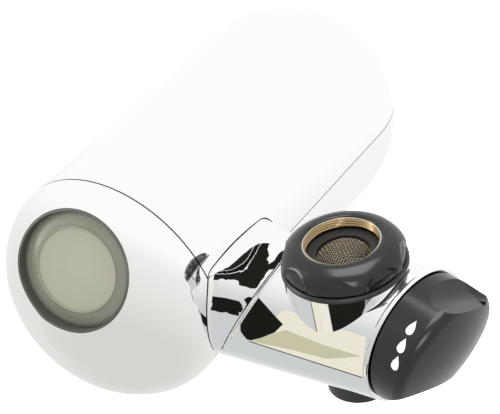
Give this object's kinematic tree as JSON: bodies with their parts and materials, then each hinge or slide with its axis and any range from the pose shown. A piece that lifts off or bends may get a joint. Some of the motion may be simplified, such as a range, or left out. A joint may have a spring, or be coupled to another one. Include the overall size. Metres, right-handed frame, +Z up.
{
  "type": "faucet mount water filter",
  "caption": "Chrome faucet filter: capsule housing with a hinged lid and drop-in cartridge, short neck to a valve body with a swivel threaded collar, a grip knob and an outlet nozzle.",
  "frame": {"origin": "centre of the collar's threaded mouth", "axes": "+Z up along the collar's axis to the faucet, +X from the housing to the knob, +Y from the window end to the far dome"},
  "size_m": [0.1716, 0.182, 0.083],
  "materials": {
    "chrome": "polished chrome plate on plastic",
    "dark_plastic": "moulded, satin",
    "lens": "translucent grey-green, smooth",
    "board": "circuit board",
    "lamp": "clear moulded",
    "steel": "bright",
    "black_plastic": "moulded, satin",
    "black_gloss": "moulded, gloss",
    "rubber": "smooth",
    "screen": "woven wire, bronze grey",
    "brass": "machined",
    "white_plastic": "moulded",
    "carbon": "pressed carbon",
    "fleece": "pleated fleece"
  },
  "bodies": {
    "base": {"lower_shell": "chrome", "front_cap": "chrome", "bezel_ring": "dark_plastic", "window_lens": "lens", "indicator_board": "board", "indicator_leds": "lamp", "coin_cell": "steel", "valve_shell": "chrome", "skirt_ring": "black_plastic", "rubber_washer": "rubber", "inlet_screen": "screen", "swivel_stem": "brass", "stem_o_ring": "rubber", "valve_core": "white_plastic", "spindle_clip": "steel", "outlet_nozzle": "black_plastic", "outlet_o_ring": "rubber", "stream_straightener": "white_plastic", "manifold": "white_plastic", "manifold_screws": "steel", "feed_duct": "white_plastic", "return_duct": "white_plastic", "cartridge_case": "white_plastic", "cartridge_cap": "white_plastic", "carbon_block": "carbon", "block_front_cap": "white_plastic", "block_rear_cap": "white_plastic", "pleated_wrap": "fleece", "spigot_o_ring": "rubber", "port_o_ring": "rubber", "hinge_pin": "steel"},
    "lid": {"lid_shell": "chrome"},
    "knob": {"knob": "black_gloss", "spindle": "white_plastic", "spindle_o_rings": "rubber"},
    "collar": {"collar_nut": "black_gloss", "thread_insert": "brass"}
  },
  "joints": [
    {"name": "lid_hinge", "type": "hinge", "parent": "base", "child": "lid", "pos_m": [-0.1267, 0.048, -0.0275], "axis": [0, -1, 0], "range_deg": [0, 100]},
    {"name": "knob_turn", "type": "hinge", "parent": "base", "child": "knob", "pos_m": [0.0223, 0, -0.0315], "axis": [0.9677, -0.2234, -0.1167], "range_deg": [-90, 90]},
    {"name": "collar_spin", "type": "hinge", "parent": "base", "child": "collar", "pos_m": [0, 0, 0], "axis": [0, 0, 1], "continuous": true}
  ]
}
